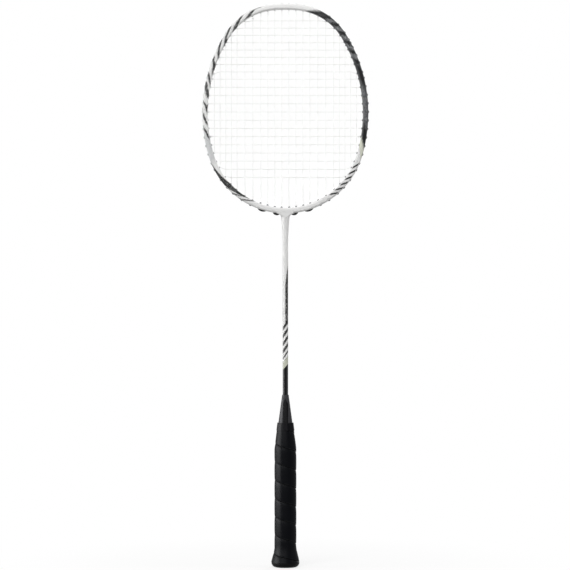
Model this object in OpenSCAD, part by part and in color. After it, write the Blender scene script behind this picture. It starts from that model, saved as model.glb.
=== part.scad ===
// Badminton racket with a strung oval head, a slim shaft, a cone and a wrapped handle.
// The strings lie in the XZ plane, the front looks along -Y and the shaft runs along Z.
// The origin is on the handle's axis, where the middle of the hand holds it.
// Angles on the hoop are those of its outward normal: 0 is up, 90 is to the side, 180 is down.

/* [Racket] */
// Overall length, from the crown of the head to the butt end
racket_l = 675; // [560:1:720]
// Height of the hand hold above the butt end
hold_h = 90; // [75:1:105]

/* [Head outline] */
// Width of the head over the frame
head_w = 199; // [166:1:239]
// Length of the head over the frame
head_l = 251.1; // [230:0.1:300]
// Drop of the widest level below the crown
widest_drop = 131; // [120:1:142]
// Radius of the side arcs
side_r = 180; // [160:1:216]
// Half angle of the crown arc
crown_a = 6; // [4:1:8]
// Angle of each side arc above the widest level
side_up_a = 32; // [29:1:35]
// Angle of each side arc below the widest level
side_down_a = 16.5; // [14:0.5:20]
// Half angle of the throat arc
throat_a = 16; // [12:1:20]

/* [Frame tube] */
// Width of the frame tube in the plane of the strings
frame_w = 6.6; // [5.5:0.1:8]
// Depth of the frame tube across the plane of the strings
frame_d = 10.2; // [8.5:0.1:12.3]
// Rounding of the tube's edges
frame_r = 2.2; // [1.5:0.1:2.6]
// Wall of the tube
frame_wall = 0.8; // [0.7:0.1:1.1]
// Depth of the groove round the outside
groove_d = 1.4; // [1.2:0.1:1.6]

/* [Throat and shaft] */
// Drop of the neck's lower end below the hoop
neck_l = 18.9; // [16:0.1:26]
// Diameter of the neck just below the hoop
neck_d = 9.7; // [9:0.1:11]
// Fillet between the neck and the hoop
neck_fillet = 6; // [4:0.5:8]
// Diameter of the shaft
shaft_d = 6.5; // [5.4:0.1:7.8]
// Wall of the shaft
shaft_wall = 1; // [0.8:0.1:1.3]
// How much wider the shaft's upper end is
shaft_flare = 1.2; // [0.6:0.1:2]
// Length of the shaft's flare
flare_l = 31; // [20:1:45]
// Height of the shaft's lower end above the butt end
shaft_foot_h = 70; // [50:1:90]
// Length of the joint's leg inside the shaft
joint_leg_l = 60; // [40:1:80]

/* [Strings] */
// Diameter of the string
string_d = 0.7; // [0.6:0.01:0.84]
// Gap between the two middle main strings
main_middle = 8.4; // [7.5:0.1:9.5]
// Pitch of the inner main strings
main_inner = 8.4; // [7.5:0.1:9.5]
// Number of inner pitches on each side
inner_n = 3; // [2:1:4]
// Pitch of the main strings further out
main_outer = 9.5; // [8.5:0.1:10.5]
// Number of outer pitches on each side
outer_n = 3; // [2:1:4]
// Pitch of the main strings near the sides
main_side = 6.8; // [6.2:0.1:7.8]
// Least room between the last main string and the frame
side_room = 7; // [6:0.5:9]
// Drop of the first cross string below the crown
cross_first = 20.1; // [18:0.1:24]
// Pitch of the upper cross strings
cross_upper = 8.75; // [7.5:0.05:10]
// Number of upper pitches
upper_n = 8; // [5:1:10]
// Pitch of the lower cross strings
cross_lower = 9.83; // [8.5:0.01:11]
// Least height of the last cross string above the throat
throat_room = 41; // [36:1:48]
// Spacing of a knot's two turns, as a share of the string
knot_turn = 0.9; // [0.8:0.05:0.95]

/* [Grommets] */
// Wall of a grommet
grommet_wall = 0.3; // [0.25:0.05:0.4]
// How far a grommet's tip stands out inside the hoop
tip_out = 0.8; // [0.6:0.1:2]
// How far the tips of the double grommets stand out inside the hoop
throat_tip_out = 1.5; // [0.8:0.1:2]
// Thickness of a grommet's flange
flange_t = 0.4; // [0.3:0.05:0.5]
// How far the lips on a flange, on both sides of the strings, stand out of the groove
lip_out = 0.45; // [0.2:0.05:0.7]
// How far a flange is wider than its grommet
flange_out = 0.5; // [0.4:0.05:0.8]
// Least room between two neighbouring flanges
flange_room = 1; // [0.6:0.1:1.5]
// How far the double grommets beside the neck stand out of the groove
neck_pad_out = 2.8; // [1.2:0.1:3.2]
// How far the next double grommets stand out of the groove
throat_pad_out = 2; // [0.8:0.1:2.6]
// Distance of the mouths beside the neck from the axis
neck_mouth = 7.4; // [7:0.1:9]
// Distance from the axis of the inner mouths of the next double grommets
throat_mouth = 24.6; // [23:0.1:25.5]
// Room that a knot needs between its grommet and the next string
knot_room = 3.4; // [3:0.1:4]
// How much wider a tie-off grommet's bore is
tie_extra = 0.3; // [0.2:0.05:0.4]
// How far the joint's bar stays short of the throat arc's ends, as an angle
joint_short_a = 1.5; // [1:0.5:4]

/* [Handle] */
// Handle core across its flats
core_af = 22.2; // [18.5:0.1:26.6]
// Height of the core's upper shoulder above the butt end
core_top_h = 127; // [115:1:135]
// Length of the spigots on both ends of the core
spigot_l = 14; // [10:1:18]
// How far a spigot is narrower than the core
spigot_step = 4.6; // [4:0.1:6]
// Bore that lightens the core, from below
core_bore_d = 11; // [9:0.5:12.5]
// Wood left between that bore and the shaft's lower end
core_web = 8; // [5:1:12]
// Height above the butt end where the handle starts to narrow
shoulder_h = 142; // [132:1:146]
// Height of the upper end of the grip above the butt end
grip_top_h = 173; // [165:1:185]
// Diameter of the cone where the grip ends
cone_foot_d = 16.9; // [14:0.1:18]
// Height of the cone's upper end above the butt end
cone_top_h = 206.5; // [195:0.5:220]
// Wall of the cone
cone_wall = 1.5; // [1.2:0.1:1.8]
// How far the cone's skirt lies inside the core's flats
skirt_in = 0.25; // [0.15:0.05:0.4]
// Wall of the cone at its upper end
cone_lip = 0.65; // [0.5:0.05:1]
// Height of the butt cap's upper edge above the butt end
cap_h = 22; // [20:1:28]
// Height of the butt cap's rim
rim_h = 6; // [5:0.5:8]
// Diameter of the butt cap's rim
rim_d = 33.4; // [31:0.1:37]
// Rounding of the rim's lower edge
rim_r = 5.4; // [4:0.1:5.8]
// Floor of the butt cap
cap_floor = 2; // [1.5:0.1:3]
// Wall of the butt cap at its rim
cap_wall = 2.5; // [2:0.1:3]

/* [Grip] */
// Pitch of the grip's turns
grip_pitch = 21.9; // [18.5:0.1:26]
// Gap between two turns
grip_gap = 0.5; // [0.45:0.05:1]
// Thickness of the grip band along its middle
grip_crown = 2.05; // [1.6:0.05:2.2]
// Thickness of the grip band along its edges
grip_edge = 1.55; // [1.1:0.05:1.7]
// Share of its thickness that the skived upper end keeps
grip_skive = 0.4; // [0.35:0.05:0.8]
// Diameter of the core under the grip at the butt cap's rim
flare_d = 30; // [27:0.1:31]
// Angle at which the band starts above the rim
grip_start_a = 60; // [0:15:345]
// Width of the finishing tape
tape_w = 9; // [7:0.5:12]
// Thickness of the finishing tape
tape_t = 0.25; // [0.2:0.05:0.4]

/* [Fits] */
// Clearance between bonded or pressed pieces
fit = 0.05; // [0.03:0.01:0.1]
// Gap between two strings that lie side by side
string_gap = 0.2; // [0.15:0.05:0.3]
// Gap between two strings that cross
weave_gap = 0.05; // [0.03:0.01:0.08]

/* [Hidden] */
butt_z = -hold_h;
crown_z = racket_l - hold_h;
widest_z = crown_z - widest_drop;
hoop_foot_z = crown_z - head_l;

// Radii of the two arcs that join the side arcs to the head's end, tangent to each other
function end_radii(end_a, side_a, h) =
    let (
        a11 = sin(end_a),
        a12 = cos(side_a) - sin(end_a),
        a21 = 1 - cos(end_a),
        a22 = cos(end_a) - sin(side_a),
        b1 = head_w / 2 - side_r * (1 - cos(side_a)),
        b2 = h - side_r * sin(side_a),
        det = a11 * a22 - a12 * a21
    )
    [(b1 * a22 - a12 * b2) / det, (a11 * b2 - a21 * b1) / det];

crown_rs = end_radii(crown_a, side_up_a, widest_drop);
throat_rs = end_radii(throat_a, side_down_a, head_l - widest_drop);

// Arcs of the right half of the outline, downwards: centre, radius, first and last angle
ARCS = [
    [0, widest_drop - crown_rs[0], crown_rs[0], 0, crown_a],
    [
        (crown_rs[0] - crown_rs[1]) * sin(crown_a),
        widest_drop - crown_rs[0] + (crown_rs[0] - crown_rs[1]) * cos(crown_a),
        crown_rs[1],
        crown_a,
        90 - side_up_a
    ],
    [head_w / 2 - side_r, 0, side_r, 90 - side_up_a, 90 + side_down_a],
    [
        (throat_rs[0] - throat_rs[1]) * sin(throat_a),
        widest_drop - head_l + throat_rs[0] - (throat_rs[0] - throat_rs[1]) * cos(throat_a),
        throat_rs[1],
        90 + side_down_a,
        180 - throat_a
    ],
    [0, widest_drop - head_l + throat_rs[0], throat_rs[0], 180 - throat_a, 180],
];
CROWN = ARCS[0];
THROAT = ARCS[4];

function arc_at(a) = [for (k = ARCS) if (a >= k[3] - 0.001 && a <= k[4] + 0.001) k][0];

// Point at a depth inside the outline, on the right for side 1 and on the left for side -1
function rim_point(a, depth, side = 1, y = 0) =
    let (k = arc_at(a), r = k[2] - depth)
    [side * (k[0] + r * sin(a)), y, widest_z + k[1] + r * cos(a)];

// String lanes, grommets and groove, worked out from the string
lane_y = (string_d + string_gap) / 2;
lanes_w = 2 * lane_y + string_d + 4 * fit;
grommet_id = lanes_w - 2 * fit;
grommet_od = grommet_id + 2 * grommet_wall;
flange_d = grommet_od + flange_out;
groove_w = flange_d + tie_extra + 2 * fit;
lane_depth = groove_d - flange_t - string_d / 2 - 5 * fit;
lane_step_a = 5;
tail_l = string_d / 4;
weave_y = string_d + weave_gap;

// How far a cut runs past the face that it opens
past = 1;

// Cavity of the frame tube
cavity_w = frame_w - groove_d - 2 * frame_wall;
cavity_d = frame_d - 2 * frame_wall;
cavity_r = min(frame_r - frame_wall, cavity_w / 3);
cavity_depth = groove_d + frame_wall + cavity_w / 2;

// Main and cross strings
function main_x(i) =
    main_middle / 2
    + min(i, inner_n) * main_inner
    + min(max(i - inner_n, 0), outer_n) * main_outer
    + max(i - inner_n - outer_n, 0) * main_side;
function cross_z(j) =
    crown_z - cross_first - min(j, upper_n) * cross_upper - max(j - upper_n, 0) * cross_lower;

last_x = head_w / 2 - frame_w - side_room;
last_z = hoop_foot_z + throat_room;
most_strings = 40;
main_n = len([for (i = [0:most_strings]) if (main_x(i) <= last_x) i]);
cross_n = len([for (j = [0:most_strings]) if (cross_z(j) >= last_z) j]);

// Angles of the points at a depth inside the outline that have a given x or z
function angle_at_x(x, depth, low) =
    [
        for (k = ARCS)
            let (s = asin((x - k[0]) / (k[2] - depth)), a = low ? 180 - s : s)
                if (a >= k[3] && a <= k[4] && low == (a > 90)) a
    ][0];
function angle_at_z(z, depth) =
    [
        for (k = ARCS)
            let (a = acos((z - widest_z - k[1]) / (k[2] - depth)))
                if (a >= k[3] && a <= k[4]) a
    ][0];

// Angles of the main strings' holes; the lowest four on each side have double grommets
throat_n = 4;
function bend_depth(out) = frame_w + out + string_d / 2;
function low_out(i) = i < throat_n ? throat_tip_out : tip_out;
MAIN_TOP = [for (i = [0:main_n - 1]) angle_at_x(main_x(i), bend_depth(tip_out), false)];
MAIN_LOW = [for (i = [0:main_n - 1]) angle_at_x(main_x(i), bend_depth(low_out(i)), true)];
MAIN_ALL = concat(MAIN_TOP, MAIN_LOW);
function is_throat(a) = a >= MAIN_LOW[throat_n - 1];

// Where a string bends at the tip of its hole
function out_at(a) = is_throat(a) ? throat_tip_out : tip_out;
function string_bend(a, side = 1, y = 0) = rim_point(a, bend_depth(out_at(a)), side, y);

// A cross string whose hole would be too near a main string's hole shares that hole
function is_near(a, b) =
    norm(rim_point(a, groove_d) - rim_point(b, groove_d)) < flange_d + flange_room;
CROSS_OWN = [for (j = [0:cross_n - 1]) angle_at_z(cross_z(j), bend_depth(tip_out))];
CROSS = [
    for (a = CROSS_OWN)
        let (near = [for (m = MAIN_ALL) if (is_near(a, m)) m])
            len(near) > 0 ? near[0] : a
];

function is_shared(j) = CROSS[j] != CROSS_OWN[j];
function cross_x(j) = string_bend(CROSS[j])[0];

// The inner mouths of the double grommets are further out than their tips
function mouth_angle(a) =
    a == MAIN_LOW[0]
        ? angle_at_x(neck_mouth, 0, true)
        : a == MAIN_LOW[2] ? angle_at_x(throat_mouth, 0, true) : a;

function last_of(list) = list[len(list) - 1];
function reversed(list) = [for (k = [len(list) - 1:-1:0]) list[k]];

// The holes where both strings end
main_end_a = main_n % 2 == 1 ? last_of(MAIN_LOW) : last_of(MAIN_TOP);
cross_end_side = cross_n % 2 == 1 ? 1 : -1;

// Each string end is tied to a string that has room for a knot, at the nearest such hole
function has_side_room(j) = !is_shared(j) && cross_x(j) - main_x(main_n - 1) > knot_room;
MAIN_TIES = [
    for (j = [0:cross_n - 1])
        if (has_side_room(j) && (main_n % 2 == 1 ? CROSS[j] < main_end_a : CROSS[j] > main_end_a)) j
];
main_tie = main_n % 2 == 1 ? max(MAIN_TIES) : min(MAIN_TIES);
first_tie = max([
    for (i = [0:main_n - 1])
        if (MAIN_TOP[i] < CROSS[0] && string_bend(MAIN_TOP[i])[2] - cross_z(0) > knot_room) i
]);
last_tie = max([
    for (i = [0:main_n - 1])
        if (
            MAIN_LOW[i] > CROSS[cross_n - 1]
            && cross_z(cross_n - 1) - string_bend(MAIN_LOW[i])[2] > knot_room
        ) i
]);

// Does main string i cross cross string j, clear of the grommets?
function meets(i, j) = cross_x(j) - main_x(i) > string_d;
MEETS = [for (i = [0:main_n - 1]) [for (j = [0:cross_n - 1]) if (meets(i, j)) j]];
function last_met(j) = max([for (i = [0:main_n - 1]) if (meets(i, j)) i]);

// String along the groove between two holes on one side
function lane(from_a, to_a, side, y) =
    let (n = ceil(abs(to_a - from_a) / lane_step_a))
    [for (k = [0:n]) rim_point(from_a + (to_a - from_a) * k / n, lane_depth, side, y)];

// Main string on one side, from the crown outwards, down and up in turn
function main_run(i, side) =
    let (
        x = side * main_x(i),
        down = [
            string_bend(MAIN_TOP[i], side, lane_y),
            [x, 0, cross_z(MEETS[i][0])],
            [x, 0, cross_z(last_of(MEETS[i]))],
            string_bend(MAIN_LOW[i], side, lane_y)
        ]
    )
    i % 2 == 0 ? down : reversed(down);
function main_loop(i, side) =
    let (ends = i % 2 == 0 ? MAIN_LOW : MAIN_TOP)
    lane(mouth_angle(ends[i]), mouth_angle(ends[i + 1]), side, lane_y);
function tail_end(a, side, y) = rim_point(a, bend_depth(out_at(a)) + tail_l, side, y);

function main_half(side) =
    concat(
        [rim_point(MAIN_TOP[0], lane_depth, side, lane_y)],
        [
            for (i = [0:main_n - 1])
                each concat(main_run(i, side), i < main_n - 1 ? main_loop(i, side) : [])
        ],
        lane(main_end_a, CROSS[main_tie], side, lane_y),
        [tail_end(CROSS[main_tie], side, lane_y)]
    );
MAIN_PATH = concat(reversed(main_half(-1)), main_half(1));

// Cross string, from the first tie on the left to and fro down the head
function over_or_under(i, side, j) = ((side > 0 ? main_n + i : main_n - 1 - i) + j) % 2 == 0 ? 1 : -1;
function crossing(i, side, j) =
    [side * main_x(i), over_or_under(i, side, j) * weave_y, cross_z(j)];
// It leaves a hole of its own on the side of its next crossing
function cross_bend(j, side) =
    let (alone = !is_shared(j) && j != main_tie, y = over_or_under(last_met(j), side, j))
    string_bend(CROSS[j], side, alone ? y * lane_y : -lane_y);
function cross_run(j) =
    let (
        n = last_met(j),
        row = concat(
            [cross_bend(j, -1)],
            [for (i = [n:-1:0]) crossing(i, -1, j)],
            [for (i = [0:n]) crossing(i, 1, j)],
            [cross_bend(j, 1)]
        )
    )
    j % 2 == 0 ? row : reversed(row);
CROSS_PATH = concat(
    [tail_end(MAIN_TOP[first_tie], -1, -lane_y)],
    lane(MAIN_TOP[first_tie], CROSS[0], -1, -lane_y),
    [
        for (j = [0:cross_n - 1])
            each concat(
                cross_run(j),
                j < cross_n - 1 ? lane(CROSS[j], CROSS[j + 1], j % 2 == 0 ? 1 : -1, -lane_y) : []
            )
    ],
    lane(CROSS[cross_n - 1], MAIN_LOW[last_tie], cross_end_side, -lane_y),
    [tail_end(MAIN_LOW[last_tie], cross_end_side, -lane_y)]
);

// Handle levels
cap_z = butt_z + cap_h;
rim_z = butt_z + rim_h;
core_top_z = butt_z + core_top_h;
shoulder_z = butt_z + shoulder_h;
grip_top_z = butt_z + grip_top_h;
cone_top_z = butt_z + cone_top_h;
shaft_foot_z = butt_z + shaft_foot_h;
neck_foot_z = hoop_foot_z - neck_l;
core_sides = 8;
flat_a = 360 / core_sides;
spigot_d = core_af - spigot_step;
socket_r = spigot_d / 2 + fit;
shaft_bore = shaft_d - 2 * shaft_wall;

// Grip band: turns of a flat tape whose edges run level at both ends
grip_rings = 24;
band_w = grip_pitch - grip_gap;
band_least_w = 1.5;
band_low_z = rim_z + fit;
band_turns = (grip_top_z - band_low_z + band_w - 2 * band_least_w) / grip_pitch;
band_n = floor(band_turns * grip_rings);
corner_a = 360 / grip_rings;
corner_out = cos(corner_a / 2) / cos(corner_a);
knee_room = 0.2;

// Distance of the handle's flats from its axis under the grip
function under_grip(z) =
    fit + lookup(z, [
        [band_low_z, flare_d / 2],
        [cap_z, core_af / 2],
        [shoulder_z, core_af / 2],
        [grip_top_z, cone_foot_d / 2]
    ]);
// The grip is round on the butt cap's rim and has eight sides further up
function eight_sided(z) = lookup(z, [[band_low_z, 0], [cap_z, 1]]);
function corner_share(a) =
    let (fold = abs(a - flat_a * round(a / flat_a)))
    1 / cos(min(fold, corner_a));
function band_inner(a, z) =
    under_grip(z) * (eight_sided(z) * corner_share(a) + (1 - eight_sided(z)) / cos(corner_a / 2));
function skive(z) = lookup(z, [[shoulder_z, 1], [grip_top_z, grip_skive]]);
// The band bends along its middle, or where the handle starts to narrow under it
function knee(low, high) =
    let (room = knee_room * (high - low))
    low < shoulder_z && shoulder_z < high
        ? min(max(shoulder_z, low + room), high - room)
        : (low + high) / 2;
function around(r, a, z) = [r * cos(a), r * sin(a), z];
function band_ring(k) =
    let (
        a = grip_start_a - corner_a * k,
        mid = band_low_z - band_w / 2 + band_least_w + grip_pitch * k / grip_rings,
        low = max(mid - band_w / 2, band_low_z),
        high = min(mid + band_w / 2, grip_top_z),
        levels = [low, knee(low, high), high],
        thick = [grip_edge, grip_crown, grip_edge]
    )
    concat(
        [for (s = [0:2]) around(band_inner(a, levels[s]), a, levels[s])],
        [
            for (s = [2:-1:0])
                around(band_inner(a, levels[s]) + thick[s] * skive(levels[s]), a, levels[s])
        ]
    );
BAND = [for (k = [0:band_n]) band_ring(k)];
band_gap = min([
    for (k = [0:band_n - grip_rings - 1], n = [-1:1])
        for (p = BAND[k], q = BAND[k + grip_rings + n])
            norm(p - q)
]);

function least_gap(path, d, apart) =
    min([
        for (i = [0:len(path) - 1 - apart], j = [i + apart:len(path) - 1]) norm(path[i] - path[j])
    ]) - d;

HOLES = concat(MAIN_ALL, [for (j = [0:cross_n - 1]) if (!is_shared(j)) CROSS[j]]);
function is_tie(a, side) =
    !is_throat(a)
    && (
        a == CROSS[main_tie]
        || (side < 0 && a == MAIN_TOP[first_tie])
        || (side == cross_end_side && a == MAIN_LOW[last_tie])
    );
function bore_at(a, side) = grommet_id + (is_tie(a, side) ? tie_extra : 0);

// Shapes that repeat

// Whole millimetres, then thousandths and then the rest, so that neighbouring arcs meet exactly
module place(v) {
    whole = [for (c = v) floor(c)];
    thousandths = [for (c = v - whole) floor(c * 1000) / 1000];
    translate(whole)
        translate(thousandths)
            translate(v - whole - thousandths)
                children();
}

module rounded_2d(w, d, r) {
    square([w - 2 * r, d], center = true);
    square([w, d - 2 * r], center = true);
    for (x = [-1, 1], y = [-1, 1])
        translate([x * (w / 2 - r), y * (d / 2 - r)])
            circle(r, $fn = 48);
}

module stadium_2d(l, w) {
    square([l, w], center = true);
    for (x = [-l / 2, l / 2])
        translate([x, 0])
            circle(d = w, $fn = 32);
}

// Sweeps a section, drawn at a radius, along part of one of the hoop's arcs
module along_arc(arc, from_a, to_a, side = 1) {
    place([side * arc[0], 0, widest_z + arc[1]])
        rotate([90, 0, 0])
            rotate_extrude(
                angle = to_a - from_a,
                start = side > 0 ? 90 - to_a : 90 + from_a,
                $fn = 360
            )
                place([arc[2], 0])
                    children();
}

// Stands what it is given on the outline at a hole's mouth, with +Z along the hole
module at_hole(a, side) {
    tip = hole_tip(a, side);
    mouth = rim_point(mouth_angle(a), 0, side);
    place(mouth)
        rotate([0, atan2(mouth[0] - tip[0], mouth[2] - tip[2]), 0])
            children();
}
function hole_tip(a, side = 1) = rim_point(a, frame_w + out_at(a), side);
function hole_l(a) = norm(rim_point(mouth_angle(a), 0) - hole_tip(a));

module string_hole(a, side) {
    d = bore_at(a, side) + 2 * grommet_wall + 2 * fit;
    at_hole(a, side)
        translate([0, 0, -hole_l(a) - past])
            cylinder(d = d, h = hole_l(a) + 2 * past, $fn = 32);
}

module grommet(a, side) {
    bore = bore_at(a, side);
    od = bore + 2 * grommet_wall;
    lip_d = od + flange_out;
    seat = fit - groove_d;
    at_hole(a, side)
        difference() {
            rotate_extrude($fn = 32)
                polygon([
                    [bore / 2, -hole_l(a)],
                    [od / 2 - grommet_wall / 2, -hole_l(a)],
                    [od / 2, -hole_l(a) + grommet_wall],
                    [od / 2, seat],
                    [lip_d / 2, seat],
                    [lip_d / 2, lip_out - grommet_wall],
                    [lip_d / 2 - grommet_wall, lip_out],
                    [bore / 2, lip_out]
                ]);
            translate([-lip_d, -lanes_w / 2, seat + flange_t])
                cube([2 * lip_d, lanes_w, groove_d + lip_out]);
        }
}

module grommets_between(from_a, to_a, side) {
    for (a = HOLES)
        if (a >= from_a && a < to_a && !is_tie(a, side) && !is_throat(a))
            grommet(a, side);
}

// Stands what it is given on the groove's floor halfway between two holes, with +Z outwards
module between_holes(a, b, side) {
    p = rim_point(mouth_angle(a), groove_d, side);
    q = rim_point(mouth_angle(b), groove_d, side);
    along = side * (q - p);
    place((p + q) / 2)
        rotate([0, -atan2(along[2], along[0]), 0])
            rotate([180, 0, 0])
                children();
}
function holes_l(a, b) =
    norm(rim_point(mouth_angle(a), groove_d) - rim_point(mouth_angle(b), groove_d));

// Two grommets joined by a hollow pad that the string's loop lies in
module double_grommet(a, b, side, pad_out) {
    l = holes_l(a, b);
    base = l * l / 8 / min(throat_rs) + fit;
    pad_w = groove_w - 2 * fit;
    pad_top = groove_d + pad_out;
    crown_r = ((l + pad_w) * (l + pad_w) / 8 + pad_out * pad_out / 2) / pad_out;
    difference() {
        union() {
            between_holes(a, b, side)
                intersection() {
                    translate([0, 0, base])
                        linear_extrude(pad_top)
                            stadium_2d(l, pad_w);
                    translate([0, 0, pad_top - crown_r])
                        rotate([90, 0, 0])
                            cylinder(r = crown_r, h = 2 * pad_w, center = true, $fn = 96);
                }
            for (hole = [a, b])
                at_hole(hole, side)
                    translate([0, 0, -hole_l(hole)])
                        cylinder(d = grommet_od, h = hole_l(hole) - groove_d + base, $fn = 32);
        }
        between_holes(a, b, side)
            translate([0, 0, base + flange_t / 2])
                linear_extrude(pad_top)
                    stadium_2d(l, grommet_id);
        for (hole = [a, b])
            at_hole(hole, side)
                translate([0, 0, -hole_l(hole) - past])
                    cylinder(d = grommet_id, h = hole_l(hole) + past, $fn = 32);
    }
}

// Rings round a path that stays near the XZ plane, mitred at its corners
string_sides = 5;
function unit(v) = v / norm(v);
function path_ring(path, k, d) =
    let (
        n = len(path),
        before = unit(k > 0 ? path[k] - path[k - 1] : path[1] - path[0]),
        after = unit(k < n - 1 ? path[k + 1] - path[k] : path[k] - path[k - 1]),
        along = unit(before + after),
        side = unit(cross([0, 1, 0], along)),
        up = cross(along, side),
        stretch = 1 / (before * along)
    )
    [
        for (s = [0:string_sides - 1])
            let (a = 360 * s / string_sides)
                path[k] + d / 2 * (stretch * cos(a) * side - sin(a) * up)
    ];

// Closed skin over rings of points, with triangles only
module skin(rings) {
    n = len(rings);
    m = len(rings[0]);
    points = [for (ring = rings) each ring];
    walls = [
        for (k = [0:n - 2], s = [0:m - 1])
            let (p = k * m + s, q = k * m + (s + 1) % m)
                each [[p, q, q + m], [p, q + m, p + m]]
    ];
    first = [for (s = [1:m - 2]) [0, s + 1, s]];
    last = [for (s = [1:m - 2]) [(n - 1) * m, (n - 1) * m + s, (n - 1) * m + s + 1]];
    polyhedron(points, concat(walls, first, last));
}

module string_along(path) {
    skin([for (k = [0:len(path) - 1]) path_ring(path, k, string_d)]);
}

// Solid with eight sides and blunt corners, from the flats' distances from the axis and levels
module eight_sided_solid(flats) {
    mirrored = [for (p = reversed(flats)) [-p[0], p[1]]];
    corners = [for (p = flats) [p[0] * corner_out, p[1]]];
    across = 4 * flats[0][0];
    intersection() {
        intersection_for (k = [0:core_sides / 2 - 1])
            rotate([90, 0, flat_a * k])
                linear_extrude(across, center = true)
                    polygon(concat(flats, mirrored));
        rotate_extrude($fn = 96)
            polygon(concat([[0, flats[0][1]]], corners, [[0, last_of(flats)[1]]]));
    }
}

// Two turns of a string end round the string that it is tied to, clear of the tip of its hole
module knot(a, side, y, next) {
    bend = string_bend(a, side, y);
    along = unit(next - bend);
    inward = unit(bend - rim_point(a, 0, side, y));
    step = knot_turn * string_d / 2;
    knot_r = 3 * string_d / 2 + fit;
    lean = knot_r * norm(cross(along, inward)) / (along * inward);
    place(bend + along * (tail_l + fit + lean + step + string_d / 2))
        rotate([0, acos(along[2]), atan2(along[1], along[0])])
            rotate_extrude($fn = 32)
                for (z = [-step, step])
                    translate([string_d + fit, z])
                        circle(d = string_d, $fn = 24);
}

// Pieces

module neck() {
    foot_r = (shaft_d + shaft_flare) / 2;
    neck_r = neck_d / 2;
    top_r = neck_r + neck_fillet;
    straight = neck_l - neck_fillet;
    sunk = groove_d + frame_wall / 2;
    slot_a = asin((neck_mouth - groove_w / 2 - fit) / THROAT[2]);
    flat_d = frame_d - frame_wall / 2;
    difference() {
        intersection() {
            translate([0, 0, neck_foot_z])
                rotate_extrude($fn = 96)
                    difference() {
                        polygon([
                            [0, 0],
                            [foot_r, 0],
                            [neck_r, straight],
                            [top_r, straight],
                            [top_r, neck_l + sunk],
                            [0, neck_l + sunk]
                        ]);
                        translate([top_r, straight])
                            circle(neck_fillet, $fn = 96);
                    }
            translate([-top_r, -flat_d / 2, neck_foot_z])
                cube([2 * top_r, flat_d, neck_l + 2 * sunk]);
        }
        for (side = [-1, 1])
            along_arc(THROAT, 180 - throat_a, 180 - slot_a, side)
                translate([-groove_d, -groove_w / 2])
                    square([neck_fillet + groove_d, groove_w]);
    }
}

module frame_section() {
    difference() {
        translate([-frame_w / 2, 0])
            rounded_2d(frame_w, frame_d, frame_r);
        translate([-groove_d, -groove_w / 2])
            square([2 * groove_d, groove_w]);
        translate([-cavity_depth, 0])
            rounded_2d(cavity_w, cavity_d, cavity_r);
    }
}

module head_frame() {
    color("whitesmoke")
        difference() {
            union() {
                along_arc(CROWN, -crown_a, crown_a)
                    frame_section();
                for (k = [1:3], side = [-1, 1])
                    along_arc(ARCS[k], ARCS[k][3], ARCS[k][4], side)
                        frame_section();
                along_arc(THROAT, 180 - throat_a, 180 + throat_a)
                    frame_section();
                neck();
            }
            for (side = [-1, 1], a = HOLES)
                string_hole(a, side);
            translate([0, 0, neck_foot_z - past])
                cylinder(d = shaft_bore, h = neck_l + cavity_depth + past, $fn = 48);
        }
}

module t_joint() {
    bar_a = throat_a - joint_short_a;
    leg_d = shaft_bore - 2 * fit;
    color("dimgray")
        difference() {
            union() {
                along_arc(THROAT, 180 - bar_a, 180 + bar_a)
                    translate([-cavity_depth, 0])
                        rounded_2d(cavity_w - 2 * fit, cavity_d - 2 * fit, cavity_r - fit);
                translate([0, 0, neck_foot_z - joint_leg_l])
                    cylinder(d = leg_d, h = joint_leg_l + neck_l + cavity_depth, $fn = 48);
            }
            for (side = [-1, 1], a = MAIN_LOW)
                if (a > 180 - throat_a)
                    string_hole(a, side);
        }
}

module shaft() {
    steps = 6;
    color("gainsboro")
        rotate_extrude($fn = 64)
            polygon(concat(
                [
                    [shaft_bore / 2, neck_foot_z - fit],
                    [shaft_bore / 2, shaft_foot_z],
                    [shaft_d / 2, shaft_foot_z]
                ],
                [
                    for (k = [0:steps])
                        [
                            shaft_d / 2 + shaft_flare / 2 * pow(k / steps, 2),
                            neck_foot_z - fit - flare_l * (1 - k / steps)
                        ]
                ]
            ));
}

module cone_cap() {
    skirt_r = core_af / 2 - skirt_in;
    collar_l = 2 * shaft_d;
    bore_r = shaft_d / 2 + fit;
    color("#26272a")
        difference() {
            eight_sided_solid([
                [skirt_r, core_top_z + fit],
                [skirt_r, shoulder_z],
                [cone_foot_d / 2, grip_top_z],
                [shaft_d / 2 + cone_lip, cone_top_z]
            ]);
            rotate_extrude($fn = 96)
                polygon([
                    [0, core_top_z - past],
                    [socket_r, core_top_z - past],
                    [socket_r, core_top_z + spigot_l + fit],
                    [cone_foot_d / 2 - cone_wall, grip_top_z],
                    [bore_r, cone_top_z - collar_l],
                    [bore_r, cone_top_z + past],
                    [0, cone_top_z + past]
                ]);
        }
}

module handle_core() {
    core_l = core_top_z - cap_z;
    bore_l = shaft_foot_z - core_web - cap_z + spigot_l;
    color("burlywood")
        difference() {
            union() {
                eight_sided_solid([[core_af / 2, cap_z], [core_af / 2, core_top_z]]);
                translate([0, 0, cap_z - spigot_l])
                    cylinder(d = spigot_d, h = core_l + 2 * spigot_l, $fn = 96);
            }
            translate([0, 0, shaft_foot_z - fit])
                cylinder(d = shaft_d + 2 * fit, h = core_l + 2 * spigot_l, $fn = 48);
            translate([0, 0, cap_z - spigot_l - past])
                cylinder(d = core_bore_d, h = bore_l + past, $fn = 48);
        }
}

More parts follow.
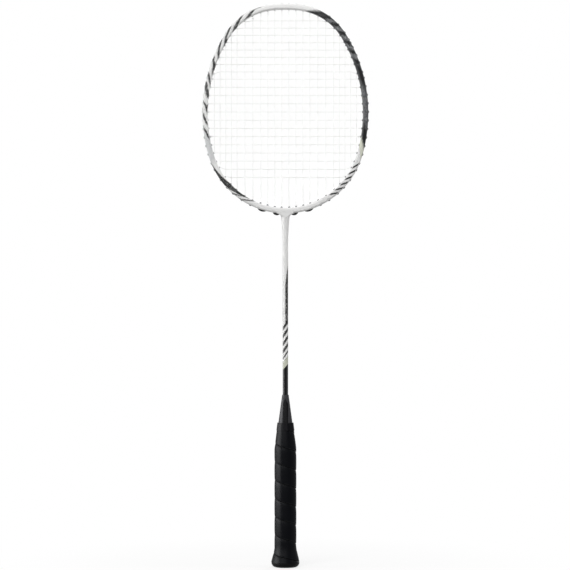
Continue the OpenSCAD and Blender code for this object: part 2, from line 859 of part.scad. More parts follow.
module butt_cap() {
    color("#1d1d1f")
        rotate_extrude($fn = 96)
            difference() {
                union() {
                    polygon([
                        [0, butt_z],
                        [rim_d / 2 - rim_r, butt_z],
                        [rim_d / 2 - rim_r, butt_z + rim_r],
                        [rim_d / 2, butt_z + rim_r],
                        [rim_d / 2, rim_z],
                        [flare_d / 2, rim_z],
                        [core_af / 2 - fit, cap_z - fit],
                        [0, cap_z - fit]
                    ]);
                    intersection() {
                        translate([rim_d / 2 - rim_r, butt_z + rim_r])
                            circle(rim_r, $fn = 64);
                        translate([rim_d / 2 - rim_r - past, butt_z])
                            square([rim_r + past, rim_h]);
                    }
                }
                polygon([
                    [-past, butt_z + cap_floor],
                    [flare_d / 2 - cap_wall, butt_z + cap_floor],
                    [flare_d / 2 - cap_wall, rim_z],
                    [socket_r, cap_z - spigot_l],
                    [socket_r, cap_z],
                    [-past, cap_z]
                ]);
            }
}

module grip_wrap() {
    color("#202022")
        skin(BAND);
}

module finishing_tape() {
    function over_band(z) = under_grip(z) + grip_crown * skive(z) + 2 * fit;
    low_z = grip_top_z - tape_w;
    low_r = over_band(low_z);
    top_r = over_band(grip_top_z);
    lean = (low_r - top_r) / tape_w * past;
    color("#141416")
        difference() {
            eight_sided_solid([[low_r + tape_t, low_z], [top_r + tape_t, grip_top_z]]);
            eight_sided_solid([[low_r + lean, low_z - past], [top_r - lean, grip_top_z + past]]);
        }
}

module main_string() {
    color("white")
        string_along(MAIN_PATH);
}

module cross_string() {
    color("white")
        string_along(CROSS_PATH);
}

module main_knots() {
    color("white")
        for (side = [-1, 1])
            knot(CROSS[main_tie], side, -lane_y, crossing(last_met(main_tie), side, main_tie));
}

module cross_knots() {
    first_met = [-main_x(first_tie), 0, cross_z(MEETS[first_tie][0])];
    last_met = [cross_end_side * main_x(last_tie), 0, cross_z(last_of(MEETS[last_tie]))];
    color("white") {
        knot(MAIN_TOP[first_tie], -1, lane_y, first_met);
        knot(MAIN_LOW[last_tie], cross_end_side, lane_y, last_met);
    }
}

module crown_grommets() {
    color("gainsboro")
        for (side = [-1, 1])
            grommets_between(0, CROSS[0], side);
}

module left_upper_grommets() {
    color("gainsboro")
        grommets_between(CROSS[0], 90, -1);
}

module right_upper_grommets() {
    color("#2a2b2d")
        grommets_between(CROSS[0], 90, 1);
}

module left_lower_grommets() {
    color("gainsboro")
        grommets_between(90, 180, -1);
}

module right_lower_grommets() {
    color("#2a2b2d")
        grommets_between(90, 180, 1);
}

module neck_grommets() {
    color("#1d1d1f")
        for (side = [-1, 1])
            double_grommet(MAIN_LOW[0], MAIN_LOW[1], side, neck_pad_out);
}

module throat_grommets() {
    color("#1d1d1f")
        for (side = [-1, 1])
            double_grommet(MAIN_LOW[2], MAIN_LOW[3], side, throat_pad_out);
}

module tie_off_grommets() {
    color("#2a2b2d")
        for (side = [-1, 1], a = HOLES)
            if (is_tie(a, side))
                grommet(a, side);
}

head_frame();
t_joint();
shaft();
cone_cap();
handle_core();
butt_cap();
grip_wrap();
finishing_tape();
main_string();
cross_string();
main_knots();
cross_knots();
crown_grommets();
left_upper_grommets();
right_upper_grommets();
left_lower_grommets();
right_lower_grommets();
neck_grommets();
throat_grommets();
tie_off_grommets();

union() {
    echo(main_strings = 2 * main_n, cross_strings = cross_n, grommets = 2 * len(HOLES));
    echo(grip_wrap_least_gap = band_gap);
    echo(main_string_least_gap = least_gap(MAIN_PATH, string_d, 3));
    echo(cross_string_least_gap = least_gap(CROSS_PATH, string_d, 4));
}
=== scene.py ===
import math

import bmesh
import bpy
from mathutils import Matrix, Vector


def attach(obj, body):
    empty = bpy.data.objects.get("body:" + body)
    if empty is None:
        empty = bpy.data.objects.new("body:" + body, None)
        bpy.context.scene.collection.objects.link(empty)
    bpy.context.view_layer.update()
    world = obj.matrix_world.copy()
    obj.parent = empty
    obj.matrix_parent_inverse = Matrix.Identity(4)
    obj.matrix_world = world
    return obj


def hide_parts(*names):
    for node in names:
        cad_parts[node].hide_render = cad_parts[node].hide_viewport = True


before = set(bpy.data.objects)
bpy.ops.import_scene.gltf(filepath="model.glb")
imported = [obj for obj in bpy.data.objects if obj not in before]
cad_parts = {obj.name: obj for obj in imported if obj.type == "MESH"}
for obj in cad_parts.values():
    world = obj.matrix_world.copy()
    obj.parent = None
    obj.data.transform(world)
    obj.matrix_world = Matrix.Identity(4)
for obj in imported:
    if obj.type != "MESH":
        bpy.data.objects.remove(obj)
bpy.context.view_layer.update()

MM = 0.001

# Outline of the head, in millimetres, as tangent arcs from the crown down the right side.
# Angles are those of the outward normal: 0 is up, 90 is to the side, 180 is down.
HEAD_W = 199
HEAD_L = 251.1
CROWN_Z = 585
WIDEST_DROP = 131
WIDEST_Z = CROWN_Z - WIDEST_DROP
SIDE_R = 180
CROWN_A, SIDE_UP_A, SIDE_DOWN_A, THROAT_A = 6, 32, 16.5, 16

# Frame tube, grommets and strings, in millimetres.
FRAME_W = 6.6
GROOVE_D = 1.4
STRING_D = 0.7
WEAVE = 0.36
TIP_OUT, THROAT_TIP_OUT = 0.8, 1.5
LANE_Y = 0.45
LANE_DEPTH = 0.4
BEND_DEPTH = FRAME_W + TIP_OUT + STRING_D / 2
THROAT_BEND_DEPTH = FRAME_W + THROAT_TIP_OUT + STRING_D / 2
THROAT_N = 4
LANE_STEP_A = 5
FLANGE_REACH = 3.8
KNOT_ROOM = 3.4
NECK_MOUTH, THROAT_MOUTH = 7.4, 24.6
# Rounded lips on both sides of the strings, where a grommet comes out of the groove: half sizes, place
# and number of faces.
LIP_ALONG, LIP_ACROSS, LIP_OUT = 1.5, 0.36, 0.85
LIP_Y = 1.2
LIP_ROUND, LIP_UP = 12, 6
# Main strings of one side: the first one's place, three spaces of the inner pitch, three of the middle
# pitch, then the outer pitch.
MAIN_N = 11
FIRST_MAIN_X = 4.2
INNER_PITCH, MIDDLE_PITCH, OUTER_PITCH = 8.4, 9.5, 6.8
SPACES_EACH = 3
# Cross strings: the first one's drop below the crown, eight spaces of the upper pitch, then the lower.
CROSS_N = 21
FIRST_CROSS_DROP = 20.1
UPPER_PITCH, LOWER_PITCH = 8.75, 9.83
UPPER_SPACES = 8
# Bends of a string at the tip of a hole, in the groove and at an end, and how its curve is pulled.
HOLE_BEND, GROOVE_BEND, END_BEND = 0.8, 0.6, 0.4
BEND_SHARE = 0.4
BEND_PULL, WAVE_PULL = 0.55, 0.36
STRING_STEPS, STRING_ROUND = 6, 2


def sin(a):
    return math.sin(math.radians(a))


def cos(a):
    return math.cos(math.radians(a))


def end_radii(end_a, side_a, height):
    """Radii of the two arcs that close the outline at the crown or at the throat."""
    a, b = sin(end_a), cos(side_a) - sin(end_a)
    c, d = 1 - cos(end_a), cos(end_a) - sin(side_a)
    across = HEAD_W / 2 - SIDE_R * (1 - cos(side_a))
    along = height - SIDE_R * sin(side_a)
    det = a * d - b * c
    return (across * d - b * along) / det, (a * along - c * across) / det


def outline():
    """Centre, radius, first and last angle of each arc."""
    crown, shoulder = end_radii(CROWN_A, SIDE_UP_A, WIDEST_DROP)
    throat, hip = end_radii(THROAT_A, SIDE_DOWN_A, HEAD_L - WIDEST_DROP)
    low = WIDEST_DROP - HEAD_L + throat
    return [
        (0, WIDEST_DROP - crown, crown, 0, CROWN_A),
        (
            (crown - shoulder) * sin(CROWN_A),
            WIDEST_DROP - crown + (crown - shoulder) * cos(CROWN_A),
            shoulder,
            CROWN_A,
            90 - SIDE_UP_A,
        ),
        (HEAD_W / 2 - SIDE_R, 0, SIDE_R, 90 - SIDE_UP_A, 90 + SIDE_DOWN_A),
        (
            (throat - hip) * sin(THROAT_A),
            low - (throat - hip) * cos(THROAT_A),
            hip,
            90 + SIDE_DOWN_A,
            180 - THROAT_A,
        ),
        (0, low, throat, 180 - THROAT_A, 180),
    ]


ARCS = outline()


def rim_point(a, depth, side=1, y=0):
    """Point at this angle and depth inside the outline, on the right or, with side -1, on the left."""
    cx, cz, r, *_ = next(k for k in ARCS if k[3] - 0.001 <= a <= k[4] + 0.001)
    return Vector((side * (cx + (r - depth) * sin(a)), y, WIDEST_Z + cz + (r - depth) * cos(a)))


def main_x(i):
    middle = min(max(i - SPACES_EACH, 0), SPACES_EACH)
    outer = max(i - 2 * SPACES_EACH, 0)
    return FIRST_MAIN_X + min(i, SPACES_EACH) * INNER_PITCH + middle * MIDDLE_PITCH + outer * OUTER_PITCH


def cross_z(j):
    lower = max(j - UPPER_SPACES, 0)
    return CROWN_Z - FIRST_CROSS_DROP - min(j, UPPER_SPACES) * UPPER_PITCH - lower * LOWER_PITCH


def angle_at_x(x, depth, low):
    """Angle of the point at this depth inside the outline and this distance from the axis."""
    for cx, _, r, first, last in ARCS:
        share = (x - cx) / (r - depth)
        if abs(share) <= 1:
            a = math.degrees(math.asin(share))
            a = 180 - a if low else a
            if first <= a <= last and low == (a > 90):
                return a


def angle_at_z(z):
    """Angle of the hole whose string leaves it at this level."""
    for _, cz, r, first, last in ARCS:
        share = (z - WIDEST_Z - cz) / (r - BEND_DEPTH)
        if abs(share) <= 1:
            a = math.degrees(math.acos(share))
            if first <= a <= last:
                return a


MAIN_TOP = [angle_at_x(main_x(i), BEND_DEPTH, False) for i in range(MAIN_N)]
MAIN_LOW = [
    angle_at_x(main_x(i), THROAT_BEND_DEPTH if i < THROAT_N else BEND_DEPTH, True)
    for i in range(MAIN_N)
]
CROSS_OWN = [angle_at_z(cross_z(j)) for j in range(CROSS_N)]


def shared_hole(a):
    """A cross string whose own hole would be too near a main string's hole goes through that one."""
    near = [
        m
        for m in MAIN_TOP + MAIN_LOW
        if (rim_point(a, GROOVE_D) - rim_point(m, GROOVE_D)).length < FLANGE_REACH
    ]
    return near[0] if near else a


CROSS = [shared_hole(a) for a in CROSS_OWN]


def string_bend(a, side=1, y=0, further=0):
    """Where a string bends at the tip of its hole."""
    depth = THROAT_BEND_DEPTH if a >= MAIN_LOW[THROAT_N - 1] else BEND_DEPTH
    return rim_point(a, depth + further, side, y)


def cross_x(j):
    return string_bend(CROSS[j]).x


def meets(i, j):
    return cross_x(j) - main_x(i) > STRING_D


def last_met(j):
    return max(i for i in range(MAIN_N) if meets(i, j))


MAIN_TIE = max(
    j
    for j in range(CROSS_N)
    if CROSS[j] == CROSS_OWN[j]
    and cross_x(j) - main_x(MAIN_N - 1) > KNOT_ROOM
    and CROSS[j] < MAIN_LOW[-1]
)
FIRST_TIE = max(
    i
    for i in range(MAIN_N)
    if MAIN_TOP[i] < CROSS[0] and string_bend(MAIN_TOP[i]).z - cross_z(0) > KNOT_ROOM
)
LAST_TIE = max(
    i
    for i in range(MAIN_N)
    if MAIN_LOW[i] > CROSS[-1] and cross_z(CROSS_N - 1) - string_bend(MAIN_LOW[i]).z > KNOT_ROOM
)


def over(i, side, j):
    """1 where the cross string passes behind the main string and -1 where it passes in front."""
    place = MAIN_N + i if side > 0 else MAIN_N - 1 - i
    return 1 if (place + j) % 2 == 0 else -1


def crossing(i, side, j, way):
    """Where a string passes the other one: way is 1 on the cross string and -1 on the main string."""
    return Vector((side * main_x(i), way * over(i, side, j) * WEAVE, cross_z(j)))


def bends(points, radius):
    """Points of a route that are rounded; at a crossing the radius is None and the string waves."""
    return [(p, radius) for p in points]


def lane(from_a, to_a, side, y):
    """String in the groove between two holes."""
    n = math.ceil(abs(to_a - from_a) / LANE_STEP_A)
    return bends(
        [rim_point(from_a + (to_a - from_a) * k / n, LANE_DEPTH, side, y) for k in range(n + 1)],
        GROOVE_BEND,
    )


def tail(a, side, y):
    """End of a string, just past the tip of its hole."""
    return bends([string_bend(a, side, y, STRING_D / 4)], END_BEND)


def mouth(a):
    """The inner mouths of the double grommets are further out than their tips."""
    moved = {MAIN_LOW[0]: NECK_MOUTH, MAIN_LOW[2]: THROAT_MOUTH}
    return angle_at_x(moved[a], 0, True) if a in moved else a


def main_half(side):
    """Main strings of one side, up and down in turn from the middle outwards."""
    route = bends([rim_point(MAIN_TOP[0], LANE_DEPTH, side, LANE_Y)], END_BEND)
    for i in range(MAIN_N):
        run = bends([string_bend(MAIN_TOP[i], side, LANE_Y)], HOLE_BEND)
        for j in range(CROSS_N):
            if meets(i, j):
                run.append((crossing(i, side, j, -1), None))
        run += bends([string_bend(MAIN_LOW[i], side, LANE_Y)], HOLE_BEND)
        route += run if i % 2 == 0 else run[::-1]
        if i < MAIN_N - 1:
            holes = MAIN_LOW if i % 2 == 0 else MAIN_TOP
            route += lane(mouth(holes[i]), mouth(holes[i + 1]), side, LANE_Y)
    route += lane(MAIN_LOW[-1], CROSS[MAIN_TIE], side, LANE_Y)
    return route + tail(CROSS[MAIN_TIE], side, LANE_Y)


def cross_route():
    """Cross strings, to and fro from the crown down to the throat."""
    route = tail(MAIN_TOP[FIRST_TIE], -1, -LANE_Y)
    route += lane(MAIN_TOP[FIRST_TIE], CROSS[0], -1, -LANE_Y)
    for j in range(CROSS_N):
        n = last_met(j)
        alone = CROSS[j] == CROSS_OWN[j] and j != MAIN_TIE
        run = []
        for side, order in ((-1, range(n, -1, -1)), (1, range(n + 1))):
            lane_y = over(n, side, j) * LANE_Y if alone else -LANE_Y
            leaves = bends([string_bend(CROSS[j], side, lane_y)], HOLE_BEND)
            row = [(crossing(i, side, j, 1), None) for i in order]
            run += leaves + row if side < 0 else row + leaves
        route += run if j % 2 == 0 else run[::-1]
        if j < CROSS_N - 1:
            route += lane(CROSS[j], CROSS[j + 1], 1 if j % 2 == 0 else -1, -LANE_Y)
    route += lane(CROSS[-1], MAIN_LOW[LAST_TIE], 1, -LANE_Y)
    return route + tail(MAIN_LOW[LAST_TIE], 1, -LANE_Y)


def linked(name, data):
    """New object at the origin, in the scene."""
    thing = bpy.data.objects.new(name, data)
    bpy.context.scene.collection.objects.link(thing)
    return thing


def finished_piece(name, shape):
    """Object of a modelled shape, which isn't needed any more."""
    mesh = bpy.data.meshes.new(name)
    shape.to_mesh(mesh)
    shape.free()
    return linked(name, mesh)


def threaded_string(name, route):
    """Round string on a smooth route that waves over and under and bends round the grommets."""
    knots = []
    for k, (p, radius) in enumerate(route):
        before, after = route[max(k - 1, 0)][0], route[min(k + 1, len(route) - 1)][0]
        if k in (0, len(route) - 1):
            knots.append((p, p, p))
        elif radius is None:
            along = after - before
            along.y = 0
            along.normalize()
            left = p - along * WAVE_PULL * (p - before).length
            right = p + along * WAVE_PULL * (after - p).length
            knots.append((p, left, right))
        else:
            reach = min(radius, BEND_SHARE * (p - before).length, BEND_SHARE * (after - p).length)
            enters = p + (before - p).normalized() * reach
            leaves = p + (after - p).normalized() * reach
            knots.append((enters, enters, enters.lerp(p, BEND_PULL)))
            knots.append((leaves, leaves.lerp(p, BEND_PULL), leaves))
    curve = bpy.data.curves.new(name, "CURVE")
    curve.dimensions = "3D"
    curve.resolution_u = STRING_STEPS
    curve.bevel_depth = STRING_D / 2 * MM
    curve.bevel_resolution = STRING_ROUND
    curve.use_fill_caps = True
    spline = curve.splines.new("BEZIER")
    spline.bezier_points.add(len(knots) - 1)
    for point, (co, left, right) in zip(spline.bezier_points, knots):
        point.handle_left_type = point.handle_right_type = "FREE"
        point.co = co * MM
        point.handle_left = left * MM
        point.handle_right = right * MM
    line = linked(name + "_line", curve)
    shape = line.evaluated_get(bpy.context.evaluated_depsgraph_get())
    mesh = bpy.data.meshes.new_from_object(shape)
    bpy.data.objects.remove(line)
    mesh.name = name
    mesh.shade_smooth()
    return linked(name, mesh)


def grommet_lips(name, holes):
    """Rounded lips at the outer ends of the grommets at these angles and sides."""
    shape = bmesh.new()
    for a, side in holes:
        along = Vector((side * cos(a), 0, -sin(a))) * LIP_ALONG
        out = Vector((side * sin(a), 0, cos(a))) * LIP_OUT
        across = Vector((0, LIP_ACROSS, 0))
        for y in (-LIP_Y, LIP_Y):
            lip = Matrix((along, across, out)).transposed().to_4x4()
            lip.translation = rim_point(a, 0, side, y)
            bmesh.ops.create_uvsphere(
                shape,
                u_segments=LIP_ROUND,
                v_segments=LIP_UP,
                radius=1,
                matrix=Matrix.Scale(MM, 4) @ lip,
            )
    bmesh.ops.recalc_face_normals(shape, faces=shape.faces)
    piece = finished_piece(name, shape)
    piece.data.shade_smooth()
    return piece


SINGLE_HOLES = sorted(set(MAIN_TOP + MAIN_LOW[THROAT_N:] + CROSS))
BLACK_LIPS = [(a, 1) for a in SINGLE_HOLES if a >= CROSS[0]]
PALE_LIPS = [(a, -1) for a in SINGLE_HOLES] + [(a, 1) for a in SINGLE_HOLES if a < CROSS[0]]

# Handle under the grip, in millimetres.
GRIP_LOW_Z = -83.95
CAP_Z = -68
SHOULDER_Z = 52
GRIP_TOP_Z = 83
FLARE_R = 15.05
CORE_R = 11.15
CONE_FOOT_R = 8.5
SKIVE = 0.4
SIDES = 8
# The lower, the rounder are the corners of the eight sides.
SOFT = 11
# Grip tape: its turns rise to the left on the front, and each lies on the edge of the one below.
GRIP_PITCH = 21.9
SEAM_Z = 31.6
GRIP_STEPS = 72
GRIP_TURNS = 10
TURNS_BELOW = 7
REFERENCE_R = 20
SHARP_A = 40
# Section of the tape: height over the handle and way up from its lower edge.
TAPE_SECTION = [
    (1.06, 0.0),
    (1.46, 0.02),
    (1.72, 0.22),
    (1.89, 0.7),
    (1.98, 2.0),
    (2.04, 5.0),
    (2.07, 9.5),
    (2.05, 14.0),
    (1.96, 17.5),
    (1.78, 19.8),
    (1.5, 21.1),
    (1.22, 21.75),
    (1.01, 22.2),
    (0.45, 23.9),
    (0.05, 24.0),
    (0.02, 12.0),
    (0.05, 2.7),
    (0.52, 2.15),
    (0.98, 0.45),
]


def on_line(z, stops):
    """Value at a level on a line through stops of level and value."""
    for (z0, v0), (z1, v1) in zip(stops, stops[1:]):
        if z <= z1:
            return v0 + (v1 - v0) * max(z - z0, 0) / (z1 - z0)
    return stops[-1][1]


def handle_r(a, z):
    """The handle is round on the butt cap's rim and has eight sides with soft corners further up."""
    flats = on_line(
        z,
        [(GRIP_LOW_Z, FLARE_R), (CAP_Z, CORE_R), (SHOULDER_Z, CORE_R), (GRIP_TOP_Z, CONE_FOOT_R)],
    )
    eight = on_line(z, [(GRIP_LOW_Z, 0), (CAP_Z, 1)])
    corners = sum(max(0, cos(math.degrees(a) - 360 / SIDES * k)) ** SOFT for k in range(SIDES))
    return flats * (1 + eight * (corners ** (-1 / SOFT) - 1))


def wound_grip(name):
    """Soft tape wound up the handle, cut level at the butt and under the finishing tape."""
    tape = bmesh.new()
    start_z = SEAM_Z - TURNS_BELOW * GRIP_PITCH
    rim = [tape.verts.new((0, -(REFERENCE_R + h) * MM, (start_z + s) * MM)) for h, s in TAPE_SECTION]
    edges = [tape.edges.new(pair) for pair in zip(rim, rim[1:] + rim[:1])]
    bmesh.ops.spin(
        tape,
        geom=rim + edges,
        cent=(0, 0, 0),
        axis=(0, 0, -1),
        dvec=(0, 0, GRIP_PITCH / GRIP_STEPS * MM),
        angle=2 * math.pi * GRIP_TURNS,
        steps=GRIP_STEPS * GRIP_TURNS,
    )
    for level, up in ((GRIP_LOW_Z, -1), (GRIP_TOP_Z, 1)):
        cut = bmesh.ops.bisect_plane(
            tape,
            geom=tape.verts[:] + tape.edges[:] + tape.faces[:],
            plane_co=(0, 0, level * MM),
            plane_no=(0, 0, up),
            clear_outer=True,
        )
        ring = [e for e in cut["geom_cut"] if isinstance(e, bmesh.types.BMEdge)]
        bmesh.ops.holes_fill(tape, edges=ring)
    for v in tape.verts:
        a = math.atan2(v.co.y, v.co.x)
        z = v.co.z / MM
        height = math.hypot(v.co.x, v.co.y) / MM - REFERENCE_R
        r = handle_r(a, z) + height * on_line(z, [(SHOULDER_Z, 1), (GRIP_TOP_Z, SKIVE)])
        v.co.x = r * MM * math.cos(a)
        v.co.y = r * MM * math.sin(a)
    bmesh.ops.recalc_face_normals(tape, faces=tape.faces)
    piece = finished_piece(name, tape)
    piece.data.shade_smooth()
    piece.data.set_sharp_from_angle(angle=math.radians(SHARP_A))
    return piece


class Wire:
    """A socket in a finish's nodes: sums on it add Math nodes."""

    def __init__(self, tree, socket=None):
        self.tree = tree
        self.socket = socket

    def node(self, kind, settings=None, inputs=None, out=0):
        """New node with its settings, then the values or links of its sockets."""
        made = self.tree.nodes.new(kind)
        for name, value in (settings or {}).items():
            setattr(made, name, value)
        for name, value in (inputs or {}).items():
            if isinstance(value, Wire):
                self.tree.links.new(value.socket, made.inputs[name])
            else:
                made.inputs[name].default_value = value
        return Wire(self.tree, made.outputs[out]) if made.outputs else None

    def maths(self, operation, *values):
        return self.node("ShaderNodeMath", {"operation": operation}, dict(enumerate(values)))

    def __add__(self, other):
        return self.maths("ADD", self, other)

    def __sub__(self, other):
        return self.maths("SUBTRACT", self, other)

    def __rsub__(self, other):
        return self.maths("SUBTRACT", other, self)

    def __mul__(self, other):
        return self.maths("MULTIPLY", self, other)

    def __truediv__(self, other):
        return self.maths("DIVIDE", self, other)

    __radd__ = __add__
    __rmul__ = __mul__

    def rise(self, low, high):
        """0 below low, 1 above high and smooth between."""
        return self.node(
            "ShaderNodeMapRange",
            {"interpolation_type": "SMOOTHSTEP"},
            {"Value": self, "From Min": low, "From Max": high},
        )

    def between(self, low, high, soft):
        """1 from low to high and 0 outside, with soft ends."""
        return self.rise(low - soft, low + soft) * (1 - self.rise(high - soft, high + soft))

    def most(self, other):
        return self.maths("MAXIMUM", self, other)

    def mix(self, below, above):
        """Colour below where this is 0 and above where it is 1."""
        return self.node("ShaderNodeMix", {"data_type": "RGBA"}, {0: self, 6: below, 7: above}, 2)


def colour(r, g, b):
    """Colour as a screen shows it, from 0 to 255."""

    def linear(c):
        c = c / 255
        return c / 12.92 if c <= 0.04045 else ((c + 0.055) / 1.055) ** 2.4

    return (linear(r), linear(g), linear(b), 1)


class Finish:
    """A material on the racket's own coordinates, in millimetres and degrees."""

    def __init__(self, name):
        self.material = bpy.data.materials.new(name)
        self.material.use_nodes = True
        self.material.node_tree.nodes.clear()
        self.wire = Wire(self.material.node_tree)
        self.place = self.wire.node("ShaderNodeTexCoord", out="Object")
        self.x, self.y, self.z = (
            self.wire.node("ShaderNodeSeparateXYZ", None, {0: self.place}, k) * 1000 for k in range(3)
        )

    def noise(self, scale, detail=3, vector=None, stretch=None):
        at = vector or self.place
        if stretch:
            at = self.wire.node("ShaderNodeVectorMath", {"operation": "MULTIPLY"}, {0: at, 1: stretch})
        return self.wire.node(
            "ShaderNodeTexNoise", None, {"Vector": at, "Scale": scale, "Detail": detail}
        )

    def vector(self, x, y, z):
        return self.wire.node("ShaderNodeCombineXYZ", None, {0: x, 1: y, 2: z})

    def angle(self, across, along):
        return self.wire.maths("ARCTAN2", across, along) * (180 / math.pi)

    def bump(self, height, strength, distance):
        """Relief in the surface; the distance is in millimetres."""
        return self.wire.node(
            "ShaderNodeBump", None, {"Height": height, "Strength": strength, "Distance": distance * MM}
        )

    def coat(self, **sockets):
        """The material, with a value or a link for each socket of its shader that is named."""
        named = {key.replace("_", " "): value for key, value in sockets.items()}
        shader = self.wire.node("ShaderNodeBsdfPrincipled", None, named)
        self.wire.node("ShaderNodeOutputMaterial", None, {"Surface": shader})
        return self.material


WHITE = colour(231, 231, 230)
PALE = colour(206, 207, 208)
GREY = colour(150, 151, 153)
DARK = colour(115, 116, 118)
BLACK = colour(14, 14, 15)
# Grey that black lacquer turns to where a sheen is painted in
PAINTED_SHEEN_GREY = colour(58, 59, 61)
LIME = colour(216, 218, 202)
STRAW = colour(200, 202, 187)

# Paint of the frame's left side, in degrees from the crown: where each kind of stroke begins and ends.
STROKES, THIN_STROKES = (12, 104), (14, 108)
PALE_STRETCH, WEDGE, DASHES = (104, 124), (124, 140), (142, 156)
STROKE_PITCH, THIN_PITCH, DASH_PITCH = 9.4, 3.1, 5.2
# Paint of its right side, likewise; the last range also holds painted shade.
DARK_SIDE, FLECKS, GREY_STRETCH = (19, 115), (27, 58), (74, 103)
ACCENT, BARS, STREAKS_AND_SHADE = (114, 122), (123, 149), (112, 158)
FLECK_PITCH, BAR_PITCH = 6.1, 4.4
# Groove that the strings lie in: its depth in the frame and its half width, in millimetres.
GROOVE, GROOVE_HALF_W = (0.15, 2.2), (1.5, 1.7)
# How far two arcs of the outline blend where they meet, in millimetres.
ARC_BLEND = 0.5


def hoop_lacquer():
    """White lacquer with slanted black strokes on the left and a streaked black side on the right."""
    f = Finish("frame_lacquer")
    wire = f.wire
    high = f.z - WIDEST_Z
    turn = f.angle(f.x, high)
    out = wire.maths("ABSOLUTE", f.x)
    depths = []
    for cx, cz, r, *_ in (ARCS[2], ARCS[1], ARCS[3]):
        far = wire.node(
            "ShaderNodeVectorMath",
            {"operation": "DISTANCE"},
            {0: f.vector(out, 0, high), 1: (cx, 0, cz)},
            "Value",
        )
        depths.append(r - far)
    side_top, side_foot = SIDE_R * sin(SIDE_UP_A), -SIDE_R * sin(SIDE_DOWN_A)
    upper = high.rise(side_top - ARC_BLEND, side_top + ARC_BLEND)
    lower = high.rise(side_foot - ARC_BLEND, side_foot + ARC_BLEND)
    depth = (depths[0] * (1 - upper) + depths[1] * upper) * lower + depths[2] * (1 - lower)
    patches = f.noise(1.0, 2, f.vector(turn * 0.11, depth * 0.1, f.y * 0.1))
    streaks = f.noise(1.0, 4, f.vector(turn * 0.35, depth * 1.6, f.y * 0.6))
    fibres = f.noise(1.0, 5, f.vector(turn * 0.9, depth * 5, f.y * 2))
    ragged = (streaks - 0.5) * 4 + (fibres - 0.5) * 3

    left_way = turn * -1
    slant = left_way - depth * 1.25 + ragged
    cycle = wire.maths("FRACT", slant / STROKE_PITCH + patches * 1.4)
    share = 0.3 + 0.5 * patches
    dry = 0.62 + 0.38 * (fibres * 0.6 + streaks * 0.4).rise(0.4, 0.5)
    body = (share - cycle).rise(0, 0.14) * cycle.rise(0, 0.12)
    full_width = depth.between(0.5, 6.0, 0.9).most(patches.rise(0.48, 0.56))
    strokes = body * full_width * slant.between(*STROKES, 1) * dry
    thin = wire.maths("FRACT", slant / THIN_PITCH)
    thin_strokes = (0.4 - thin).rise(0, 0.25) * slant.between(*THIN_STROKES, 3) * fibres.rise(0.4, 0.62)
    wedge = (slant - depth * 1.5).between(*WEDGE, 0.6)
    dash_cycle = wire.maths("FRACT", slant / DASH_PITCH)
    dashes = (0.5 - dash_cycle).rise(0, 0.08) * slant.between(*DASHES, 0.8)
    left = strokes.most(thin_strokes * 0.5).most(wedge * dry).most(dashes * dry * 0.8)
    pale_part = left_way.between(*PALE_STRETCH, 3)
    left_paint = left.mix(pale_part.mix(WHITE, PALE), BLACK)

    lean = turn + depth * 1.1
    dark_side = (lean + ragged * 1.4).between(*DARK_SIDE, 2.5)
    scraped = wire.maths("FRACT", (turn + depth * 0.7 + ragged * 1.8) / FLECK_PITCH).rise(0.46, 0.6)
    flecks = scraped * (fibres * 0.7 + streaks * 0.3).rise(0.43, 0.57) * lean.between(*FLECKS, 5)
    mottled = f.noise(1.0, 3, f.vector(turn * 0.7, depth * 0.8, f.y * 0.5))
    cloudy = 0.3 + 0.7 * (mottled * 0.7 + fibres * 0.3).rise(0.4, 0.58)
    grey_part = lean.between(*GREY_STRETCH, 4) * cloudy * depth.between(1.0, 5.4, 0.9).most(0.55)
    # The black side turns grey towards its inner and outer rims: a painted sheen.
    painted_sheen_rims = 1 - depth.between(1.7, 4.4, 0.9)
    ground = (painted_sheen_rims * (0.5 + 0.5 * streaks)).mix(BLACK, PAINTED_SHEEN_GREY)
    dark_paint = flecks.mix(grey_part.mix(ground, DARK), GREY)
    accent = lean.between(*ACCENT, 0.8)
    tilted = turn - depth * 0.9
    bar_cycle = wire.maths("FRACT", tilted / BAR_PITCH)
    bar_length = depth.between(0.9, 5.6, 0.3)
    bars = (0.46 - bar_cycle).rise(0, 0.05) * tilted.between(*BARS, 0.3) * bar_length * 0.94
    # Grey streaks on the white of the lower right: partly the paint's own, partly painted shade.
    streaks_and_painted_shade = streaks.rise(0.46, 0.64) * turn.between(*STREAKS_AND_SHADE, 4) * 0.5
    bright_side = bars.mix(streaks_and_painted_shade.mix(accent.mix(WHITE, LIME), GREY), BLACK)
    right_paint = dark_side.mix(bright_side, dark_paint)

    paint = f.x.rise(-0.5, 0.5).mix(left_paint, right_paint)
    groove = depth.between(*GROOVE, 0.1) * (1 - wire.maths("ABSOLUTE", f.y).rise(*GROOVE_HALF_W))
    speckle = f.noise(2600, 2)
    # The paint goes three quarters of the way to dark grey in the string groove.
    darker_in_groove = (groove * 0.75).mix(paint, DARK)
    tone = wire.node(
        "ShaderNodeMix",
        {"data_type": "RGBA", "blend_type": "MULTIPLY"},
        {0: 0.08, 6: darker_in_groove, 7: speckle.mix((0.72, 0.72, 0.73, 1), (1, 1, 1, 1))},
        2,
    )
    return f.coat(
        Base_Color=tone,
        Roughness=0.24 + 0.12 * f.noise(300) + 0.25 * groove,
        Specular_IOR_Level=0.07,
        Coat_Weight=0.03,
        Coat_Roughness=0.1,
        Normal=f.bump(f.noise(900, 2), 0.04, 0.02),
    )


# Paint of the shaft: lowest and highest level of each mark, in millimetres.
SHAFT_STROKE, HAIR_LINE, STRIPES, BAND = (201, 286), (206, 282), (163, 206), (150, 159)
STROKE_TAPER = 40
STRIPE_PITCH = 9.2


